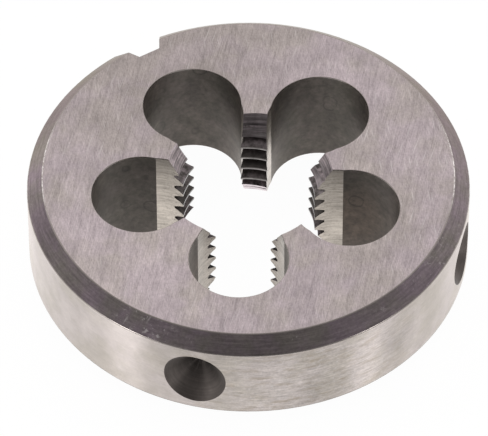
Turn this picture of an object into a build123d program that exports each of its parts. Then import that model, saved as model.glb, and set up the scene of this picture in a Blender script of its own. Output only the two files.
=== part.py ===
from build123d import *
from math import cos, floor, radians, sin, tan
import os

# Round threading die: one hardened steel disc, 38 mm across and 10 mm thick, that
# cuts a G 1/4 pipe thread (19 turns to the inch).
#
# Frame: the origin is on the thread axis, in the bottom face. +Z is up through the
# thickness and +Y points at the V-notch in the rim. Lengths are millimetres, angles
# are degrees and azimuths are counted from +X towards +Y.

# Body
die_diameter = 38.0
die_thickness = 10.0
rim_chamfer = 1.33           # 45 degrees, on both rims

# V-notch for the spreading screw, over the whole thickness
notch_azimuth = 90.0
notch_depth = 2.3            # from the rim to the flat floor
notch_floor_width = 2.0
notch_angle = 60.0           # between the two walls

# Conical seats for the holding screws, half way up the rim
seat_diameter = 5.75
seat_angle = 90.0
seat_spread = 45.0           # each side of the point that faces the notch

# Chip holes, and the second cut beside each that narrows the lands between them
chip_hole_count = 5
chip_hole_diameter = 8.5
chip_circle_diameter = 18.8
face_cut_diameter = 7.6      # leaves the concave land faces
face_circle_diameter = 16.4  # nearer the thread than the chip holes

# Internal thread
thread_diameter = 13.157     # at the roots
thread_pitch = 1.337
thread_angle = 55.0
crest_cut = 1 / 6            # share of the sharp V that is cut off at crest and root
groove_height = 0.88         # of the groove above the bottom face, at azimuth 0

# Lead: the tapered mouth of the thread at each face
lead_clearance = 0.62        # from the thread roots to the mouth of the taper, at the face
lead_angle = 32.0            # from the thread axis
lead_relief = 0.5            # how far each land's taper is set off its centre line

overlap = 1.0                # how far a cutter reaches past the surface it cuts
thread_overlap = 0.1         # the same for the groove, short of its next turn
land_arc = 57.6              # swept by the cutters of one land, from chip hole to chip hole

# Worked out from the sizes above
die_radius = die_diameter / 2
sharp_depth = thread_pitch / 2 / tan(radians(thread_angle / 2))
thread_depth = sharp_depth * (1 - 2 * crest_cut)
root_radius = thread_diameter / 2
crest_radius = root_radius - thread_depth
chip_step = 360 / chip_hole_count


def polar(radius, azimuth, height=0.0):
    """The point at a radius and an azimuth about the thread axis."""
    return Vector(radius * cos(radians(azimuth)), radius * sin(radians(azimuth)), height)


def through(outline):
    """A prism of a closed plan outline that runs out past both faces."""
    plan = Pos(0, 0, -overlap) * make_face(outline)
    return extrude(plan, die_thickness + 2 * overlap, dir=(0, 0, 1))


def blank():
    """The turned disc with its two chamfered rims."""
    disc = Cylinder(die_radius, die_thickness, align=(Align.CENTER, Align.CENTER, Align.MIN))
    return chamfer(disc.edges().filter_by(GeomType.CIRCLE), rim_chamfer)


def bore(diameter):
    """A plain hole of one diameter that runs out past both faces."""
    return through(Edge.make_circle(diameter / 2))


def chip_pocket(azimuth):
    """One chip hole with the second cut that grinds the faces of the lands beside it."""
    hole = Pos(chip_circle_diameter / 2, 0, 0) * bore(chip_hole_diameter)
    face_cut = Pos(face_circle_diameter / 2, 0, 0) * bore(face_cut_diameter)
    return Rot(0, 0, azimuth) * (hole + face_cut)


def lead(land_azimuth, upper):
    """The taper over one land's first teeth, at the upper or the lower face.

    Its axis is set off to the side of the land's heel, so that only the cutting edge
    reaches full depth. The heel is on the other side for the lower face.
    """
    outward = 1 if upper else -1
    face = die_thickness if upper else 0.0
    heel = -90 if upper else 90
    centre = polar(lead_relief, land_azimuth + heel)
    slope = tan(radians(lead_angle))
    inner = crest_radius - overlap
    outer = root_radius + lead_clearance
    profile = [(inner, (outer - inner) / -slope), (outer + overlap * slope, overlap), (inner, overlap)]
    points = [Vector(r, 0, face + outward * depth) for r, depth in profile]
    section = make_face(Polyline(*points, close=True))
    swept = revolve(section, Axis.Z, revolution_arc=land_arc)
    return Pos(centre.X, centre.Y, 0) * Rot(0, 0, land_azimuth - land_arc / 2) * swept


def groove_pass():
    """One land's share of one turn of the right-hand helical groove between the crests.

    Its middle is at azimuth 0 and height 0, and its flanks run on past the crests.
    """
    rise = thread_pitch * land_arc / 360
    path = Helix(thread_pitch, rise, crest_radius)
    inner = crest_radius - thread_overlap
    root = thread_pitch * crest_cut / 2
    mouth = root + (root_radius - inner) * tan(radians(thread_angle / 2))
    section = [(inner, -mouth), (root_radius, -root), (root_radius, root), (inner, mouth)]
    points = [Vector(r, 0, height) for r, height in section]
    swept = sweep(make_face(Polyline(*points, close=True)), path=path, is_frenet=True)
    return Pos(0, 0, -rise / 2) * Rot(0, 0, -land_arc / 2) * swept


def land_grooves(land_azimuth):
    """Every turn of the groove that meets one land, from below the bottom face to above the top."""
    turn = groove_pass()
    height = groove_height + thread_pitch * land_azimuth / 360
    height -= thread_pitch * (floor(height / thread_pitch) + 1)
    turns = []
    while height < die_thickness + thread_pitch:
        turns.append(Pos(0, 0, height) * Rot(0, 0, land_azimuth) * turn)
        height += thread_pitch
    return turns


def notch():
    """The V-notch with its flat floor."""
    bottom = die_radius - notch_depth
    reach = notch_depth + overlap
    half_floor = notch_floor_width / 2
    half_mouth = half_floor + reach * tan(radians(notch_angle / 2))
    outline = Polyline((bottom, -half_floor), (bottom + reach, -half_mouth),
                       (bottom + reach, half_mouth), (bottom, half_floor), close=True)
    return Rot(0, 0, notch_azimuth) * through(outline)


def screw_seat(azimuth):
    """One conical seat in the rim; its diameter is taken on the rim's surface."""
    slope = tan(radians(seat_angle / 2))
    mouth = seat_diameter / 2
    cone = Cone(mouth + overlap * slope, 0, mouth / slope + overlap,
                align=(Align.CENTER, Align.CENTER, Align.MIN))
    outside = polar(die_radius + overlap, azimuth, die_thickness / 2)
    return Plane(origin=outside, z_dir=-polar(1, azimuth)) * cone


def die_body():
    """The whole die."""
    body = blank() - bore(2 * crest_radius) - notch()
    for side in (-1, 1):
        body -= screw_seat(notch_azimuth + 180 + side * seat_spread)
    for i in range(chip_hole_count):
        body -= chip_pocket(notch_azimuth + i * chip_step)
    for i in range(chip_hole_count):
        land_azimuth = notch_azimuth + (i + 0.5) * chip_step
        for turn in land_grooves(land_azimuth):
            body -= turn
        for upper in (True, False):
            body -= lead(land_azimuth, upper)
    return body


os.makedirs("parts", exist_ok=True)
export_step(die_body(), "parts/die_body.step")
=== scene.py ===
"""Round threading die: one hardened steel disc with its ground, turned, drilled and lapped
finishes, and the studio that it is shown in. Lengths are metres, but millimetres inside the
materials. The origin is on the thread axis in the bottom face, +Z is up and +Y points at
the V-notch.
"""

from math import cos, hypot, pi, radians, sin

import bmesh
import bpy
from bpy.props import FloatProperty, FloatVectorProperty, IntProperty, PointerProperty
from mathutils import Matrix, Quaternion, Vector


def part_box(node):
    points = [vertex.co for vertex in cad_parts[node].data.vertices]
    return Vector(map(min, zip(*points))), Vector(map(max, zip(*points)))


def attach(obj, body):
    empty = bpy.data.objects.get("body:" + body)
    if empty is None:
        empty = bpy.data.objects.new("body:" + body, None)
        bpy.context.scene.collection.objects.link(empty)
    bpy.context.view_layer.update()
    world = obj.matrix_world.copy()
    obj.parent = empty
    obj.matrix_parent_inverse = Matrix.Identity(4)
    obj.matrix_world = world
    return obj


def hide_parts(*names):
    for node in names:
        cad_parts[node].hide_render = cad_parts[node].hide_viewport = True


bl_info = {
    "name": "Round Threading Die",
    "version": (1, 0, 0),
    "blender": (4, 5, 0),
    "location": "View3D > Sidebar > Die",
    "description": "Builds a hardened steel threading die and the studio that shows it",
    "category": "Object",
}

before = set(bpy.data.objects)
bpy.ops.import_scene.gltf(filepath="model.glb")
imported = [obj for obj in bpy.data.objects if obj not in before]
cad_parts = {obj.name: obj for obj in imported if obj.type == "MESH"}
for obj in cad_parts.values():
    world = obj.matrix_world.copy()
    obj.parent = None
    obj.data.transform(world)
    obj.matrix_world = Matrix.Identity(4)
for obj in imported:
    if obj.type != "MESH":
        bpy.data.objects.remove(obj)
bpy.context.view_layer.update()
NODE = "die_body"
MM = 0.001
MICRON = 1.0e-6

# Measured on the CAD solid: the corners of its box, its mid-height and its rim's radius
LOW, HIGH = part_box(NODE)
MID_HEIGHT = (LOW.z + HIGH.z) / 2
RIM_RADIUS = max(hypot(*vertex.co.xy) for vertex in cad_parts[NODE].data.vertices)


def length(name, description, default):
    """A length in metres, shown in the scene's units."""
    return FloatProperty(name=name, description=description, default=default, min=0.0,
                         subtype="DISTANCE", unit="LENGTH", precision=5)


def colour(name, description, default):
    """A linear base colour."""
    return FloatVectorProperty(name=name, description=description, default=default,
                               subtype="COLOR", size=3, min=0.0, max=1.0)


def angle(name, description, degrees):
    """An angle, given in degrees."""
    return FloatProperty(name=name, description=description, default=radians(degrees),
                         subtype="ANGLE")


def strength(name, description, default):
    """The power or brightness of a light."""
    return FloatProperty(name=name, description=description, default=default, min=0.0)


class DieSizes(bpy.types.PropertyGroup):
    """Where one finish of the die gives way to the next."""

    chamfer: length("Chamfer", "Depth of the 45 degree chamfer on both rims", 1.33 * MM)
    hole_count: IntProperty(name="Chip holes", description="Chip holes around the thread",
                            default=5, min=3)
    hole_circle: length("Hole circle", "Radius that the chip holes are centred on", 9.4 * MM)
    hole_radius: length("Hole radius", "Radius of a chip hole", 4.25 * MM)
    cut_circle: length("Face cut circle", "Radius that the face cuts are centred on", 8.2 * MM)
    cut_radius: length("Face cut radius", "Radius of the concave land faces", 3.8 * MM)
    crest_radius: length("Crest radius", "Radius of the thread's crests", 5.722 * MM)
    root_radius: length("Root radius", "Radius of the thread's roots", 6.5785 * MM)
    edge_width: length("Edge width", "Width of the dulled edges of the disc", 0.07 * MM)


class DieFinish(bpy.types.PropertyGroup):
    """Colours of the die's finishes, and the pitch that the finish of the crests follows."""

    pitch: length("Pitch", "Pitch of the thread", 1.337 * MM)
    face: colour("Ground faces", "Both flat faces", (0.436, 0.376, 0.392))
    face_dull: colour("Dull faces", "Duller patches of the flat faces", (0.412, 0.364, 0.350))
    rim: colour("Ground rim", "The cylindrical side wall", (0.562, 0.505, 0.481))
    rim_dull: colour("Dull rim", "Duller patches of the side wall", (0.50, 0.452, 0.41))
    rim_stain: colour("Handled rim", "Brown smears of the side wall", (0.36, 0.30, 0.235))
    chamfer: colour("Chamfers", "Turned chamfers, darkened by hardening", (0.210, 0.172, 0.192))
    chamfer_dull: colour("Dull chamfers", "Greyer patches of the chamfers",
                         (0.188, 0.168, 0.158))
    hole: colour("Chip holes", "Drilled walls, darkened by hardening", (0.0745, 0.0660, 0.0550))
    hole_dull: colour("Dull chip holes", "Paler patches of the drilled walls",
                      (0.0870, 0.0735, 0.0650))
    hole_brown: colour("Oily chip holes", "Patches of old oil on the drilled walls",
                       (0.100, 0.075, 0.058))
    seat: colour("Screw seats", "Countersunk seats in the rim", (0.122, 0.106, 0.098))
    land: colour("Land faces", "Ground faces of the cutting lands", (0.43, 0.386, 0.340))
    lead: colour("Lead", "Lapped taper at the mouth of the thread", (0.45, 0.392, 0.406))
    crest: colour("Crests", "Crests of the thread", (0.21, 0.195, 0.19))
    flank: colour("Flanks", "Flanks and roots of the thread", (0.075, 0.068, 0.063))
    flank_lapped: colour("Lapped flanks", "Flanks near the mouths of the thread",
                         (0.235, 0.20, 0.21))
    # Also the colour of the painted highlights on the dulled edges
    edge: colour("Worn edges", "Bare metal along the dulled edges", (0.68, 0.64, 0.63))


class StudioSettings(bpy.types.PropertyGroup):
    """The camera, the lights and the floor."""

    aim: FloatVectorProperty(name="Aim", description="Point in the middle of the picture",
                             default=(-0.585 * MM, -0.230 * MM, 5.0 * MM), size=3,
                             subtype="TRANSLATION", unit="LENGTH", precision=5)
    azimuth: angle("Azimuth", "Direction of the camera about the die", -120.937)
    elevation: angle("Elevation", "Height of the camera as an angle", 49.146)
    roll: angle("Roll", "Turn of the camera about its own axis", -0.171)
    distance: length("Distance", "From the camera to the aim", 0.53018)
    lens: FloatProperty(name="Lens", description="Focal length in millimetres",
                        default=453.78, min=1.0, unit="CAMERA")
    sky_back: strength("Back light", "World behind the die", 1.37)
    sky_side: strength("Side light", "World beside and over the camera", 0.42)
    sky_front: strength("Front light", "World round the camera", 0.15)
    left_power: strength("Left lamp", "Power in watts", 1.72)
    right_power: strength("Right lamp", "Power in watts", 1.3)
    rear_power: strength("Rear lamps", "Power of each in watts", 0.16)
    floor_size: length("Floor", "Side of the square floor", 3.0)
    floor_white: FloatProperty(
        name="Floor white", description="How much of the floor is plain white to the camera",
        default=0.94, min=0.0, max=1.0, subtype="FACTOR")


# ---------------------------------------------------------------- shader building blocks

def feed(tree, socket, value):
    """Links another node's output to a socket, or sets the socket's own value."""
    if isinstance(value, bpy.types.NodeSocket):
        tree.links.new(value, socket)
    else:
        socket.default_value = value


def add_node(tree, kind, inputs=None, **settings):
    """A new node; inputs maps its sockets to values or to other nodes' outputs."""
    made = tree.nodes.new(kind)
    for name, value in settings.items():
        setattr(made, name, value)
    for name, value in (inputs or {}).items():
        feed(tree, made.inputs[name], value)
    return made


def calc(tree, operation, *values, clamp=False):
    """A Math node's result."""
    return add_node(tree, "ShaderNodeMath", dict(enumerate(values)), operation=operation,
                    use_clamp=clamp).outputs[0]


def vector(tree, operation, *values):
    """A Vector Math node's vector."""
    return add_node(tree, "ShaderNodeVectorMath", dict(enumerate(values)),
                    operation=operation).outputs["Vector"]


def measure(tree, operation, *values):
    """A Vector Math node's number, such as a length or a distance."""
    return add_node(tree, "ShaderNodeVectorMath", dict(enumerate(values)),
                    operation=operation).outputs["Value"]


def scaled(tree, base, factor):
    """A vector or a colour multiplied by a number."""
    return add_node(tree, "ShaderNodeVectorMath", {0: base, "Scale": factor},
                    operation="SCALE").outputs["Vector"]


def split(tree, base):
    """The X, Y and Z of a vector or a colour."""
    return add_node(tree, "ShaderNodeSeparateXYZ", {0: base}).outputs


def joined(tree, **parts):
    """A vector from its X, Y and Z; a part left out is zero."""
    return add_node(tree, "ShaderNodeCombineXYZ", parts).outputs[0]


def spread(tree, value, low, high, to_low=0.0, to_high=1.0):
    """A value mapped from one range to another, without leaving it."""
    return add_node(tree, "ShaderNodeMapRange", {
        "Value": value, "From Min": low, "From Max": high,
        "To Min": to_low, "To Max": to_high}).outputs["Result"]


def blend(tree, factor, first, second):
    """A colour mixed from two others, each a socket or a plain colour."""
    made = add_node(tree, "ShaderNodeMix", data_type="RGBA", clamp_factor=True)
    inputs = {socket.identifier: socket for socket in made.inputs}
    feed(tree, inputs["Factor_Float"], factor)
    for name, value in (("A_Color", first), ("B_Color", second)):
        linked = isinstance(value, bpy.types.NodeSocket)
        feed(tree, inputs[name], value if linked else (*value, 1.0))
    return next(s for s in made.outputs if s.identifier == "Result_Color")


def weighted(tree, *pairs):
    """A sum of values, each with its weight."""
    total = None
    for value, weight in pairs:
        part = calc(tree, "MULTIPLY", value, weight)
        total = part if total is None else calc(tree, "ADD", total, part)
    return total


def strongest(tree, first, *others):
    """The largest of some masks."""
    for other in others:
        first = calc(tree, "MAXIMUM", first, other)
    return first


def tinted(tree, base, value, swing):
    """The base colour made lighter or darker by a value about 0.5."""
    return scaled(tree, base, spread(tree, value, 0.25, 0.75, 1.0 - swing, 1.0 + swing))


def darker(tree, base, mask, amount):
    """The base colour darkened by a mask, or made lighter by a negative amount."""
    return scaled(tree, base, calc(tree, "SUBTRACT", 1.0,
                                   calc(tree, "MULTIPLY", mask, amount)))


def near(tree, place, middle, full, gone, most=1.0):
    """A mask for one patch: `most` out to one distance from its middle, zero past another."""
    return spread(tree, measure(tree, "DISTANCE", place, middle), full, gone, most, 0.0)


def off_axis(tree, place):
    """The distance from the thread axis."""
    return measure(tree, "LENGTH", vector(tree, "MULTIPLY", place, (1.0, 1.0, 0.0)))


def off_middle(tree, place):
    """The distance above or below the die's mid-height."""
    return calc(tree, "ABSOLUTE",
                calc(tree, "SUBTRACT", split(tree, place)["Z"], MID_HEIGHT / MM))


def lengthways(tree, place, degrees, across, along):
    """Coordinates for marks of some width and length on a flat face, at an angle in plan."""
    turned = add_node(tree, "ShaderNodeVectorRotate", {
        "Vector": place, "Angle": radians(degrees)}, rotation_type="Z_AXIS", invert=True)
    return vector(tree, "MULTIPLY", turned.outputs[0],
                  (1.0 / along, 1.0 / across, 1.0 / across))


def round_axis(tree, place, across, along):
    """Coordinates for marks of some width and length that run level, round the axis."""
    return vector(tree, "MULTIPLY", place, (1.0 / along, 1.0 / along, 1.0 / across))


def unrolled(tree, place, across, along):
    """The rim's coordinates laid out flat: along the rim, then up. It is cut at the notch."""
    part = split(tree, place)
    turn = calc(tree, "ARCTAN2", part["X"], calc(tree, "MULTIPLY", part["Y"], -1.0))
    return joined(tree, X=calc(tree, "MULTIPLY", turn, RIM_RADIUS / MM / along),
                  Y=calc(tree, "MULTIPLY", part["Z"], 1.0 / across))


# ---------------------------------------------------------------- node groups

def new_group(name, inputs, outputs):
    """An empty node group with named inputs, and with numbers as its outputs; returns its
    tree, inputs and output node."""
    group = bpy.data.node_groups.new(name, "ShaderNodeTree")
    for socket, kind, value in inputs:
        made = group.interface.new_socket(socket, in_out="INPUT", socket_type=kind)
        if value is not None:
            made.default_value = value
    for socket in outputs:
        group.interface.new_socket(socket, in_out="OUTPUT", socket_type="NodeSocketFloat")
    return group, group.nodes.new("NodeGroupInput").outputs, group.nodes.new("NodeGroupOutput")


def use_group(tree, name, **inputs):
    """The outputs of a placed node group with its own values."""
    return add_node(tree, "ShaderNodeGroup", inputs,
                    node_tree=bpy.data.node_groups[name]).outputs


def only_some(tree, mask, cell, rarity):
    """A mask kept in a few cells of a Voronoi texture, at a strength of its own in each."""
    chance = split(tree, cell.outputs["Color"])["X"]
    return calc(tree, "MULTIPLY", mask, spread(tree, chance, rarity, 1.0))


def scratch_group():
    """Short straight scratches along X: a mask that is 1 in the middle of a scratch."""
    tree, given, out = new_group("Scratches", [
        ("Vector", "NodeSocketVector", None), ("Reach", "NodeSocketFloat", 0.18),
        ("Rarity", "NodeSocketFloat", 0.6)], ["Mask"])
    cell = add_node(tree, "ShaderNodeTexVoronoi", {
        "Vector": given["Vector"], "Scale": 1.0, "Randomness": 1.0}, voronoi_dimensions="2D")
    line = calc(tree, "SUBTRACT", 1.0,
                calc(tree, "DIVIDE", cell.outputs["Distance"], given["Reach"]), clamp=True)
    feed(tree, out.inputs["Mask"], only_some(tree, line, cell, given["Rarity"]))


def grain_group():
    """Fine lines along the stretch of the coordinates: a value about 0.5."""
    tree, given, out = new_group("Grain", [
        ("Vector", "NodeSocketVector", None), ("Shift", "NodeSocketFloat", 0.0)], ["Value"])
    moved = vector(tree, "ADD", given["Vector"],
                   joined(tree, X=given["Shift"], Z=given["Shift"]))
    wave = add_node(tree, "ShaderNodeTexNoise", {
        "Vector": moved, "Scale": 1.0, "Detail": 2.5, "Roughness": 0.6})
    feed(tree, out.inputs["Value"], wave.outputs["Fac"])


def stain_group():
    """Cloudy patches as a value about 0.5, and a mask of the rings of dried drops."""
    tree, given, out = new_group("Stains", [
        ("Vector", "NodeSocketVector", None), ("Size", "NodeSocketFloat", 4.0),
        ("Rarity", "NodeSocketFloat", 0.7)], ["Value", "Rings"])
    scale = calc(tree, "DIVIDE", 1.0, given["Size"])
    patches = add_node(tree, "ShaderNodeTexNoise", {
        "Vector": given["Vector"], "Scale": scale, "Detail": 4.0, "Roughness": 0.62})
    feed(tree, out.inputs["Value"], patches.outputs["Fac"])
    bend = scaled(tree, patches.outputs["Color"], calc(tree, "MULTIPLY", given["Size"], 0.35))
    cell = add_node(tree, "ShaderNodeTexVoronoi", {
        "Vector": vector(tree, "ADD", given["Vector"], bend), "Scale": scale,
        "Randomness": 0.8})
    radius, width = 0.36, 0.07
    rim = calc(tree, "ABSOLUTE", calc(tree, "SUBTRACT", cell.outputs["Distance"], radius))
    ring = calc(tree, "SUBTRACT", 1.0, calc(tree, "DIVIDE", rim, width), clamp=True)
    feed(tree, out.inputs["Rings"], only_some(tree, ring, cell, given["Rarity"]))


def scratches(tree, place, reach, rarity):
    """A placed Scratches group's mask."""
    return use_group(tree, "Scratches", Vector=place, Reach=reach, Rarity=rarity)["Mask"]


def grain(tree, place, shift=0.0):
    """A placed Grain group's value."""
    return use_group(tree, "Grain", Vector=place, Shift=shift)["Value"]


def cloud(tree, place, size):
    """The patches of a placed Stains group."""
    return use_group(tree, "Stains", Vector=place, Size=size)["Value"]


def dried_drops(tree, place, size, rarity):
    """The rings of a placed Stains group."""
    return use_group(tree, "Stains", Vector=place, Size=size, Rarity=rarity)["Rings"]


# ---------------------------------------------------------------- finishes of the die

def new_material(name, plain):
    """An empty node material, its tree and its object coordinates in millimetres."""
    material = bpy.data.materials.new(name)
    material.use_nodes = True
    material.diffuse_color = (*plain, 1.0)
    tree = material.node_tree
    tree.nodes.clear()
    place = tree.nodes.new("ShaderNodeTexCoord").outputs["Object"]
    return material, tree, scaled(tree, place, 1.0 / MM)


def metal(tree, base, roughness, height=None, microns=1.0, brushed=0.0, tangent=None,
          grazing=(1.0, 1.0, 1.0), metallic=1.0):
    """A bare metal shader. Height feeds a bump so many microns deep. Brushed metal is ground
    along the tangent, or round the axis, and its gloss is drawn out across that."""
    inputs = {"Base Color": base, "Roughness": roughness, "Metallic": metallic,
              "Anisotropic": brushed, "Specular Tint": (*grazing, 1.0)}
    if height is not None:
        bump = add_node(tree, "ShaderNodeBump", {
            "Height": height, "Strength": 1.0, "Distance": microns * MICRON})
        inputs["Normal"] = bump.outputs["Normal"]
    if brushed:
        inputs["Tangent"] = tangent or add_node(
            tree, "ShaderNodeTangent", direction_type="RADIAL", axis="Z").outputs[0]
        inputs["Anisotropic Rotation"] = 0.25
    shader = add_node(tree, "ShaderNodeBsdfPrincipled", inputs)
    add_node(tree, "ShaderNodeOutputMaterial", {"Surface": shader.outputs[0]})


def ground_face(finish):
    """Flat faces: fine grinding lines, light scratches, smears, duller patches and a painted
    sheen.
    """
    material, tree, place = new_material("ground_face", finish.face)
    lines = weighted(tree,
                     (grain(tree, lengthways(tree, place, 46, 0.09, 2.6)), 0.30),
                     (grain(tree, lengthways(tree, place, 58, 0.11, 2.0), 3.0), 0.22),
                     (grain(tree, lengthways(tree, place, 80, 0.12, 1.5), 7.0), 0.18),
                     (cloud(tree, place, 0.18), 0.30))
    marks = strongest(tree,
                      scratches(tree, lengthways(tree, place, 42, 0.36, 7.5), 0.17, 0.62),
                      scratches(tree, lengthways(tree, place, 66, 0.28, 4.0), 0.22, 0.60),
                      scratches(tree, lengthways(tree, place, 45, 0.80, 11.0), 0.10, 0.45))
    smears = spread(tree, grain(tree, lengthways(tree, place, 50, 0.45, 7.0), 13.0), 0.52, 0.70)
    dull = near(tree, place, (0.5, 15.5, 10.0), 4.0, 15.0)
    # Painted sheen: a lighter patch of the top face towards -X
    painted_light = near(tree, place, (-15.5, -3.0, 10.0), 3.0, 12.0)
    scratched = calc(tree, "ADD", 0.42, near(tree, place, (12.3, -7.4, 10.0), 4.0, 14.0, 0.36))
    dullness = calc(tree, "ADD", spread(tree, cloud(tree, place, 5.2), 0.42, 0.60),
                    calc(tree, "MULTIPLY", dull, 0.5), clamp=True)
    base = blend(tree, dullness, finish.face, finish.face_dull)
    base = tinted(tree, base, lines, 0.58)
    base = darker(tree, base, smears, 0.16)
    base = tinted(tree, base, cloud(tree, place, 2.4), 0.14)
    base = darker(tree, base, dull, 0.13)
    base = darker(tree, base, painted_light, -0.11)
    base = blend(tree, calc(tree, "MULTIPLY", marks, scratched), base, finish.edge)
    roughness = spread(tree, lines, 0.3, 0.7, 0.30, 0.38)
    metal(tree, base, roughness, calc(tree, "SUBTRACT", lines, marks), 1.2)
    return material


def ground_rim(finish):
    """Side wall: ground round the die, and scratched, smeared and speckled where it was
    handled most."""
    material, tree, place = new_material("ground_rim", finish.rim)
    lines = weighted(tree,
                     (grain(tree, round_axis(tree, place, 0.11, 0.9)), 0.45),
                     (grain(tree, round_axis(tree, place, 0.20, 1.8), 5.0), 0.30),
                     (cloud(tree, place, 0.20), 0.25))
    marks = scratches(tree, unrolled(tree, place, 0.30, 3.6), 0.22, 0.45)
    smudges = spread(tree, grain(tree, round_axis(tree, place, 0.45, 1.8), 11.0), 0.50, 0.70)
    specks = spread(tree, cloud(tree, place, 0.34), 0.55, 0.68)
    handled = strongest(tree, 0.12, near(tree, place, (-5.3, -18.2, 4.5), 4.0, 14.2))
    dim_right = near(tree, place, (3.4, -18.7, 5.0), 0.8, 2.6)
    dim_left = near(tree, place, (-4.3, -18.5, 2.0), 1.0, 4.0)
    base = blend(tree, spread(tree, cloud(tree, place, 4.5), 0.42, 0.60), finish.rim,
                 finish.rim_dull)
    # Tinted by the lines, without a limit, and most where the rim was handled
    contrast = spread(tree, handled, 0.0, 1.0, 0.04, 0.50)
    swing = calc(tree, "MULTIPLY", calc(tree, "SUBTRACT", lines, 0.5), 4.0)
    base = scaled(tree, base, calc(tree, "ADD", 1.0, calc(tree, "MULTIPLY", contrast, swing)))
    for mask, share, over in ((marks, 0.5, finish.edge), (smudges, 0.6, finish.rim_stain),
                              (specks, 0.4, finish.edge)):
        there = calc(tree, "MULTIPLY", mask, calc(tree, "MULTIPLY", handled, share))
        base = blend(tree, there, base, over)
    base = tinted(tree, base, cloud(tree, place, 1.6), 0.10)
    base = darker(tree, base, dim_right, 0.12)
    base = darker(tree, base, dim_left, 0.16)
    relief = calc(tree, "MULTIPLY", lines, spread(tree, handled, 0.0, 1.0, 0.25, 1.0))
    metal(tree, base, 0.30, relief, 0.8, brushed=0.98)
    return material


def turned_chamfer(finish):
    """Chamfers: turned, then darkened by hardening, with a few bright nicks, and a painted
    reflection and painted shade in two places.
    """
    material, tree, place = new_material("turned_chamfer", finish.chamfer)
    lines = grain(tree, round_axis(tree, place, 0.12, 2.2))
    specks = spread(tree, cloud(tree, place, 0.34), 0.60, 0.68)
    cuts = scratches(tree, lengthways(tree, place, 8, 0.45, 1.6), 0.24, 0.30)
    knocked = near(tree, place, (-15.8, -9.2, 9.4), 1.0, 3.4)
    speckled = strongest(tree, knocked,
                         spread(tree, cloud(tree, place, 6.0), 0.54, 0.66, 0.0, 0.7),
                         near(tree, place, (9.2, -15.9, 9.4), 2.0, 6.0, 0.6))
    nicks = strongest(tree, calc(tree, "MULTIPLY", specks, speckled),
                      calc(tree, "MULTIPLY", cuts, knocked))
    # Painted reflection: a lighter patch of the top chamfer; painted shade: a darker patch
    # beside it
    painted_light = near(tree, place, (-14.2, 11.5, 9.4), 1.0, 4.5)
    dim = near(tree, place, (-18.0, 3.5, 9.4), 1.0, 4.0)
    base = blend(tree, spread(tree, cloud(tree, place, 3.5), 0.40, 0.62), finish.chamfer,
                 finish.chamfer_dull)
    base = tinted(tree, base, lines, 0.24)
    base = tinted(tree, base, cloud(tree, place, 0.25), 0.20)
    base = darker(tree, base, painted_light, -0.24)
    base = darker(tree, base, dim, 0.20)
    base = blend(tree, calc(tree, "MULTIPLY", nicks, 0.60), base, finish.edge)
    metal(tree, base, 0.32, lines, 0.5, grazing=(0.70, 0.66, 0.60))
    return material


def drilled_hole(finish):
    """Walls of the chip holes and the notch: dark, cloudy and marked by dried oil."""
    material, tree, place = new_material("drilled_hole", finish.hole)
    fine = cloud(tree, place, 0.45)
    oily = strongest(tree, near(tree, place, (8.0, -4.3, 4.0), 2.0, 5.0, 0.9),
                     near(tree, place, (-9.2, -5.4, 5.0), 2.0, 5.0, 0.9))
    base = blend(tree, spread(tree, cloud(tree, place, 3.0), 0.40, 0.60), finish.hole,
                 finish.hole_dull)
    base = blend(tree, oily, base, finish.hole_brown)
    base = tinted(tree, base, cloud(tree, place, 1.4), 0.44)
    base = tinted(tree, base, fine, 0.42)
    base = darker(tree, base, dried_drops(tree, place, 1.8, 0.66), 0.60)
    metal(tree, base, 0.48, fine, 1.5, metallic=0.45, grazing=(1.0, 0.93, 0.87))
    return material


def screw_seat(finish):
    """Conical seats: dark, with the rings of the countersink round each seat's own axis,
    painted shade deep in each cone and a painted reflection lightening one seat.
    """
    material, tree, place = new_material("screw_seat", finish.seat)
    part = split(tree, place)
    inwards = calc(tree, "SUBTRACT", calc(tree, "ABSOLUTE", part["X"]), part["Y"])
    rings = grain(tree, joined(tree, X=calc(tree, "DIVIDE", inwards, 0.18),
                               Y=calc(tree, "DIVIDE", part["Z"], 3.0)))
    axis = joined(tree, X=calc(tree, "SIGN", part["X"]), Y=-1.0)
    out = vector(tree, "SUBTRACT", place, (0.0, 0.0, MID_HEIGHT / MM))
    tangent = vector(tree, "CROSS_PRODUCT", axis, out)
    # Painted shade: darker towards each seat's axis, deep in the cone
    deep = spread(tree, measure(tree, "LENGTH", tangent), 0.5, 3.0, 1.0, 0.0)
    # Painted reflection: the seat on the +X side made lighter
    painted_light = near(tree, place, (13.4, -13.4, 5.0), 5.0, 7.0)
    base = tinted(tree, finish.seat, rings, 0.20)
    base = tinted(tree, base, cloud(tree, place, 1.6), 0.22)
    base = darker(tree, base, deep, 0.55)
    base = darker(tree, base, painted_light, -0.16)
    metal(tree, base, 0.58, rings, brushed=0.65, tangent=tangent)
    return material


def ground_land(finish):
    """Land faces: ground bright, with level lines, speckled beside the thread, and with painted
    shade in one place.
    """
    material, tree, place = new_material("ground_land", finish.land)
    lines = weighted(tree,
                     (grain(tree, round_axis(tree, place, 0.13, 1.6)), 0.6),
                     (grain(tree, round_axis(tree, place, 0.30, 3.0), 4.0), 0.4))
    specks = spread(tree, cloud(tree, place, 0.20), 0.50, 0.72)
    beside_thread = spread(tree, off_axis(tree, place), 6.4, 8.2, 1.0, 0.30)
    mouth = spread(tree, off_middle(tree, place), 3.0, 4.8)
    # Painted shade: a darker patch on one land face
    dim = near(tree, place, (7.6, -3.6, 6.0), 1.5, 4.5)
    base = tinted(tree, finish.land, lines, 0.46)
    base = tinted(tree, base, cloud(tree, place, 1.8), 0.12)
    base = darker(tree, base, calc(tree, "MULTIPLY", specks, beside_thread), 0.45)
    base = darker(tree, base, mouth, 0.22)
    base = darker(tree, base, dim, 0.22)
    metal(tree, base, 0.38, lines, 1.5)
    return material


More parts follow.
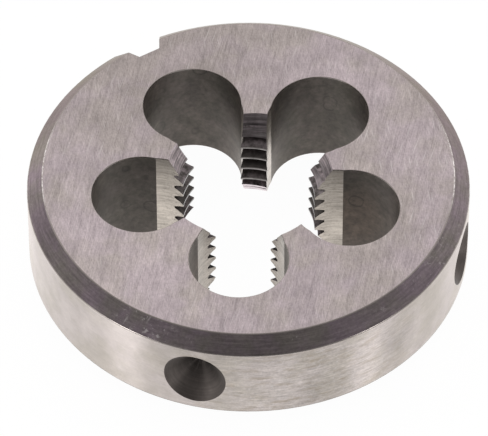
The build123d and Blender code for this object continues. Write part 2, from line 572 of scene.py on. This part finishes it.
def lapped_lead(finish):
    """Lead tapers: lapped in rings about the axis, with a few bright streaks, painted shade on
    one lead and a painted highlight on another.
    """
    material, tree, place = new_material("lapped_lead", finish.lead)
    rings = weighted(tree,
                     (grain(tree, round_axis(tree, place, 0.13, 4.0)), 0.65),
                     (grain(tree, round_axis(tree, place, 0.30, 6.0), 6.0), 0.35))
    streaks = spread(tree, grain(tree, round_axis(tree, place, 0.09, 3.0), 9.0), 0.56, 0.66)
    # Painted shade on one lead, and a painted highlight on another
    dim = near(tree, place, (4.2, 5.8, 8.5), 1.5, 4.0)
    painted_light = near(tree, place, (-4.4, 5.8, 9.5), 0.8, 2.8)
    base = tinted(tree, finish.lead, rings, 0.98)
    base = tinted(tree, base, cloud(tree, place, 0.9), 0.45)
    base = blend(tree, calc(tree, "MULTIPLY", streaks, 0.55), base, finish.edge)
    base = darker(tree, base, dim, 0.46)
    base = darker(tree, base, painted_light, -0.45)
    metal(tree, base, 0.34, rings, 4.0, brushed=0.95)
    return material


def thread_crest(finish):
    """Crests of the thread: lapped bright along their lower edge, dark above it."""
    material, tree, place = new_material("thread_crest", finish.crest)
    part = split(tree, place)
    turns = calc(tree, "DIVIDE", calc(tree, "ARCTAN2", part["Y"], part["X"]), 2 * pi)
    climb = calc(tree, "DIVIDE", part["Z"], finish.pitch / MM)
    above_edge = calc(tree, "FRACT", calc(tree, "SUBTRACT", climb, turns))
    base = blend(tree, spread(tree, above_edge, 0.13, 0.18), finish.crest, finish.flank)
    metal(tree, tinted(tree, base, cloud(tree, place, 0.6), 0.45), 0.34)
    return material


def thread_flank(finish):
    """Flanks and roots of the thread: dark inside, brighter where the mouths were lapped."""
    material, tree, place = new_material("thread_flank", finish.flank)
    fine = cloud(tree, place, 0.5)
    mouth = spread(tree, off_middle(tree, place), 0.5, 3.6)
    lapped = calc(tree, "MULTIPLY", mouth, spread(tree, fine, 0.35, 0.60))
    base = blend(tree, lapped, finish.flank, finish.flank_lapped)
    metal(tree, tinted(tree, base, fine, 0.40), 0.34, fine, 3.0)
    return material


def worn_edge(finish):
    """Dulled edges: bare metal in places, painted highlights on the top edge at two sides, and
    between the tones of face and chamfer elsewhere."""
    material, tree, place = new_material("worn_edge", finish.edge)
    dull = [(face + chamfer) / 2
            for face, chamfer in zip(finish.face_dull, finish.chamfer_dull)]
    # Bare metal in random places, and two painted highlights on the top edge at opposite sides
    bare = strongest(tree, spread(tree, cloud(tree, place, 3.0), 0.52, 0.68, 0.0, 0.2),
                     near(tree, place, (-14.7, 9.9, 10.0), 2.0, 6.0, 0.9),
                     near(tree, place, (15.6, -8.3, 10.0), 2.0, 6.0, 0.9))
    nibbled = spread(tree, cloud(tree, place, 0.5), 0.36, 0.60)
    base = blend(tree, calc(tree, "MULTIPLY", bare, nibbled), dull, finish.edge)
    metal(tree, base, 0.22, grazing=(0.55, 0.53, 0.50))
    return material


# Every finish and the function that makes it, in the order of the die's material slots
FINISHES = {make.__name__: make for make in (
    ground_face, ground_rim, turned_chamfer, drilled_hole, screw_seat, ground_land,
    lapped_lead, thread_crest, thread_flank, worn_edge)}
SLOTS = {name: slot for slot, name in enumerate(FINISHES)}
THREAD_SLOTS = {SLOTS[name] for name in ("lapped_lead", "thread_crest", "thread_flank")}
KEEN_SLOTS = THREAD_SLOTS | {SLOTS["screw_seat"]}


# ---------------------------------------------------------------- the die's mesh

def hole_centres(sizes, circle):
    """Plan positions of the chip holes, or of the cuts beside them."""
    step = 2 * pi / sizes.hole_count
    return [Vector((circle * cos(pi / 2 + i * step), circle * sin(pi / 2 + i * step)))
            for i in range(sizes.hole_count)]


def on_cylinder(face, centres, radius, slack):
    """Whether every corner of a face lies on one of some upright cylinders."""
    return any(all(abs((Vector(v.co.xy) - centre).length - radius) < slack for v in face.verts)
               for centre in centres)


def finish_of(face, sizes):
    """The finish that a face of the bare die has, told from where it lies and how it leans."""
    slack = 0.004 * MM
    middle = face.calc_center_median()
    out = hypot(middle.x, middle.y)
    flatness = abs(face.normal.z)
    corners = [(hypot(*v.co.xy), abs(v.co.z - MID_HEIGHT)) for v in face.verts]
    # A 45 degree chamfer keeps the sum of the distances from the axis and from mid-height
    chamfer_sum = RIM_RADIUS + (HIGH.z - MID_HEIGHT) - sizes.chamfer
    if flatness > 0.999:
        return "ground_face"
    if all(abs(reach - RIM_RADIUS) < slack for reach, _ in corners):
        return "ground_rim"
    if all(abs(reach + rise - chamfer_sum) < slack for reach, rise in corners):
        return "turned_chamfer"
    if on_cylinder(face, hole_centres(sizes, sizes.hole_circle), sizes.hole_radius, slack):
        return "drilled_hole"
    if on_cylinder(face, hole_centres(sizes, sizes.cut_circle), sizes.cut_radius, slack):
        return "ground_land"
    # Outside the holes only the notch and the seats are left, and inside them the thread
    if out > sizes.hole_circle:
        return "drilled_hole" if middle.y > 0 else "screw_seat"
    if 0.4 < flatness < 0.7:
        return "lapped_lead"
    if flatness < 0.3 and out < (sizes.crest_radius + sizes.root_radius) / 2:
        return "thread_crest"
    return "thread_flank"


def slots_beside(edge):
    """The material slots of the faces that an edge joins."""
    return {face.material_index for face in edge.link_faces}


def merged_die(sizes):
    """The CAD solid as one closed mesh, its flat triangles joined and its finishes marked."""
    mesh = bmesh.new()
    mesh.from_mesh(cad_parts[NODE].data)
    bmesh.ops.remove_doubles(mesh, verts=mesh.verts, dist=0.001 * MM)
    for face in mesh.faces:
        face.material_index = SLOTS[finish_of(face, sizes)]
    plain = [edge for edge in mesh.edges if not slots_beside(edge) & THREAD_SLOTS]
    bmesh.ops.dissolve_limit(mesh, angle_limit=radians(0.3), use_dissolve_boundaries=False,
                             verts=[], edges=plain, delimit={"MATERIAL"})
    return mesh


def dull_edges(mesh, width):
    """Rounds the sharp outer edges, except on the thread and the seats, and marks the new
    faces as worn."""
    sharp = [edge for edge in mesh.edges if not slots_beside(edge) & KEEN_SLOTS
             and edge.calc_face_angle_signed(0.0) >= radians(25)]
    made = bmesh.ops.bevel(mesh, geom=sharp, offset=width, offset_type="OFFSET", segments=2,
                           profile=0.5, affect="EDGES", clamp_overlap=True, material=-1)
    for face in made["faces"]:
        face.material_index = SLOTS["worn_edge"]


def smooth_within_finishes(mesh):
    """Smooth shading, with a sharp edge wherever two finishes meet undulled."""
    for face in mesh.faces:
        face.smooth = True
    for edge in mesh.edges:
        beside = slots_beside(edge)
        dulled = SLOTS["worn_edge"] in beside and not beside & KEEN_SLOTS
        edge.smooth = (len(beside) == 1 or dulled) and edge.calc_face_angle(0.0) <= radians(40)


class DIE_OT_body(bpy.types.Operator):
    """Build the hardened steel die with its finishes"""

    bl_idname = "die.body"
    bl_label = "Die body"

    def execute(self, context):
        sizes, finish = context.scene.die_sizes, context.scene.die_finish
        solid = merged_die(sizes)
        dull_edges(solid, sizes.edge_width)
        smooth_within_finishes(solid)
        mesh = bpy.data.meshes.new("threading_die")
        solid.to_mesh(mesh)
        solid.free()
        # The CAD mesh's own normals no longer fit its joined and rounded faces
        if "custom_normal" in mesh.attributes:
            mesh.attributes.remove(mesh.attributes["custom_normal"])
        for build in (scratch_group, grain_group, stain_group):
            build()
        for make in FINISHES.values():
            mesh.materials.append(make(finish))
        die = bpy.data.objects.new("threading_die", mesh)
        context.scene.collection.objects.link(die)
        die.modifiers.new("Even normals", "WEIGHTED_NORMAL").keep_sharp = True
        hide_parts(NODE)
        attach(die, "root")
        return {"FINISHED"}


# ---------------------------------------------------------------- the studio

LAMP_DISTANCE = 1.0
# Each lamp's name, its bearing from the camera's and its elevation in degrees, its width
# and height in metres, and the setting with its power
LAMPS = (
    ("left_lamp", -54.0, 6.0, 0.23, 0.25, "left_power"),
    ("right_lamp", 53.5, 6.0, 0.21, 0.25, "right_power"),
    ("rear_left_lamp", -142.0, 32.0, 0.15, 0.15, "rear_power"),
    ("rear_right_lamp", 142.0, 32.0, 0.15, 0.15, "rear_power"),
)


def direction(azimuth, elevation=0.0):
    """The unit vector at an azimuth and an elevation."""
    return Vector((cos(azimuth) * cos(elevation), sin(azimuth) * cos(elevation),
                   sin(elevation)))


def floor_material(studio):
    """Pale floor, lit so that it takes a faint shadow, but nearly plain white to the camera.
    Reflections see it dim in front of the die, bright behind it, and with a bright pool on
    the left."""
    material, tree, place = new_material("studio_floor", (0.9, 0.9, 0.9))
    flat = vector(tree, "MULTIPLY", place, (1.0, 1.0, 0.0))
    way = vector(tree, "NORMALIZE", flat)
    to_camera = measure(tree, "DOT_PRODUCT", way, direction(studio.azimuth))
    to_pool = measure(tree, "DOT_PRODUCT", way, direction(studio.azimuth - radians(50)))
    close = spread(tree, to_camera, 0.7, -0.5, 1.16, 1.6)
    distant = spread(tree, to_camera, 0.85, -0.3, 0.5, 1.3)
    pool = spread(tree, to_pool, cos(radians(16)), cos(radians(4)), 0.0, 1.5)
    # The close brightness gives way to the distant one from 28 to 40 mm off the axis
    outer = spread(tree, measure(tree, "LENGTH", flat), 28.0, 40.0)
    inner = calc(tree, "SUBTRACT", 1.0, outer)
    mirrored = calc(tree, "ADD", calc(tree, "MULTIPLY", close, inner),
                    calc(tree, "MULTIPLY", calc(tree, "ADD", distant, pool), outer))
    # A little over white to the camera, so that only the shadow is darker
    ray = tree.nodes.new("ShaderNodeLightPath").outputs
    brightness = add_node(tree, "ShaderNodeMix", {
        0: ray["Is Camera Ray"], 2: mirrored, 3: 1.03}).outputs[0]
    plain = add_node(tree, "ShaderNodeEmission", {
        "Color": (1.0, 1.0, 1.0, 1.0), "Strength": brightness})
    lit = add_node(tree, "ShaderNodeBsdfDiffuse", {"Color": (0.85, 0.85, 0.85, 1.0)})
    seen = strongest(tree, calc(tree, "MULTIPLY", ray["Is Camera Ray"], studio.floor_white),
                     ray["Is Glossy Ray"], ray["Is Transmission Ray"])
    either = add_node(tree, "ShaderNodeMixShader", {
        0: seen, 1: lit.outputs[0], 2: plain.outputs[0]})
    add_node(tree, "ShaderNodeOutputMaterial", {"Surface": either.outputs[0]})
    return material


def add_floor(context, studio):
    """The floor that the die lies on."""
    grid = bmesh.new()
    bmesh.ops.create_grid(grid, x_segments=1, y_segments=1, size=studio.floor_size / 2)
    bmesh.ops.translate(grid, verts=grid.verts, vec=(0.0, 0.0, -0.02 * MM))
    mesh = bpy.data.meshes.new("studio_floor")
    grid.to_mesh(mesh)
    grid.free()
    mesh.materials.append(floor_material(studio))
    floor = bpy.data.objects.new("studio_floor", mesh)
    context.scene.collection.objects.link(floor)


def add_world(context, studio):
    """Soft light, brightest from behind the die and dimmest round the camera, which itself
    sees plain white."""
    world = bpy.data.worlds.new("studio")
    world.use_nodes = True
    context.scene.world = world
    tree = world.node_tree
    tree.nodes.clear()
    way = tree.nodes.new("ShaderNodeTexCoord").outputs["Generated"]
    to_front = measure(tree, "DOT_PRODUCT", way, direction(studio.azimuth, radians(12)))
    front = spread(tree, to_front, 0.97, 0.85, studio.sky_front, studio.sky_side)
    back = spread(tree, to_front, 0.45, -1.0, 0.0, studio.sky_back - studio.sky_side)
    soft = add_node(tree, "ShaderNodeBackground", {
        "Color": (1.0, 0.98, 0.975, 1.0), "Strength": calc(tree, "ADD", front, back)})
    white = add_node(tree, "ShaderNodeBackground", {
        "Color": (1.0, 1.0, 1.0, 1.0), "Strength": 1.0})
    ray = tree.nodes.new("ShaderNodeLightPath").outputs
    either = add_node(tree, "ShaderNodeMixShader", {
        0: ray["Is Camera Ray"], 1: soft.outputs[0], 2: white.outputs[0]})
    add_node(tree, "ShaderNodeOutputWorld", {"Surface": either.outputs[0]})


def add_lamp(context, name, out, width, height, power):
    """A soft rectangular lamp out in one direction, which faces the die and isn't seen."""
    data = bpy.data.lights.new(name, "AREA")
    data.shape = "RECTANGLE"
    data.size, data.size_y = width, height
    data.energy = power
    lamp = bpy.data.objects.new(name, data)
    lamp.location = out * LAMP_DISTANCE
    lamp.rotation_mode = "QUATERNION"
    lamp.rotation_quaternion = out.to_track_quat("Z", "Y")
    lamp.visible_camera = False
    context.scene.collection.objects.link(lamp)


def add_camera(context, studio):
    """The camera, aimed past the middle of the die as the picture is framed."""
    data = bpy.data.cameras.new("camera")
    data.sensor_width = 36.0
    data.lens = studio.lens
    data.clip_start, data.clip_end = 0.01, 20.0
    camera = bpy.data.objects.new("camera", data)
    out = direction(studio.azimuth, studio.elevation)
    camera.location = Vector(studio.aim) + out * studio.distance
    camera.rotation_mode = "QUATERNION"
    turn = Quaternion((0.0, 0.0, 1.0), studio.roll)
    camera.rotation_quaternion = out.to_track_quat("Z", "Y") @ turn
    context.scene.collection.objects.link(camera)
    context.scene.camera = camera


class DIE_OT_studio(bpy.types.Operator):
    """Set up the pale floor, the soft light and the camera"""

    bl_idname = "die.studio"
    bl_label = "Studio"

    def execute(self, context):
        studio = context.scene.die_studio
        add_floor(context, studio)
        add_world(context, studio)
        for name, bearing, elevation, width, height, power in LAMPS:
            out = direction(studio.azimuth + radians(bearing), radians(elevation))
            add_lamp(context, name, out, width, height, getattr(studio, power))
        add_camera(context, studio)
        context.scene.view_settings.view_transform = "Standard"
        return {"FINISHED"}


class DIE_PT_panel(bpy.types.Panel):
    """The die's sizes, finishes and studio, and the buttons that build them"""

    bl_idname = "DIE_PT_panel"
    bl_label = "Threading die"
    bl_space_type = "VIEW_3D"
    bl_region_type = "UI"
    bl_category = "Die"

    def draw(self, context):
        for group in (context.scene.die_sizes, context.scene.die_finish,
                      context.scene.die_studio):
            box = self.layout.box()
            for name in group.bl_rna.properties.keys():
                if name not in ("rna_type", "name"):
                    box.prop(group, name)
        for operator in (DIE_OT_body, DIE_OT_studio):
            self.layout.operator(operator.bl_idname)


CLASSES = (DieSizes, DieFinish, StudioSettings, DIE_OT_body, DIE_OT_studio, DIE_PT_panel)
GROUPS = {"die_sizes": DieSizes, "die_finish": DieFinish, "die_studio": StudioSettings}


def register():
    """Adds the classes and the scene's settings."""
    for made in CLASSES:
        bpy.utils.register_class(made)
    for name, group in GROUPS.items():
        setattr(bpy.types.Scene, name, PointerProperty(type=group))


def unregister():
    """Takes them away again."""
    for name in GROUPS:
        delattr(bpy.types.Scene, name)
    for made in reversed(CLASSES):
        bpy.utils.unregister_class(made)


def main():
    """Builds the die and the studio."""
    register()
    bpy.ops.die.body()
    bpy.ops.die.studio()


if __name__ == "__main__":
    main()
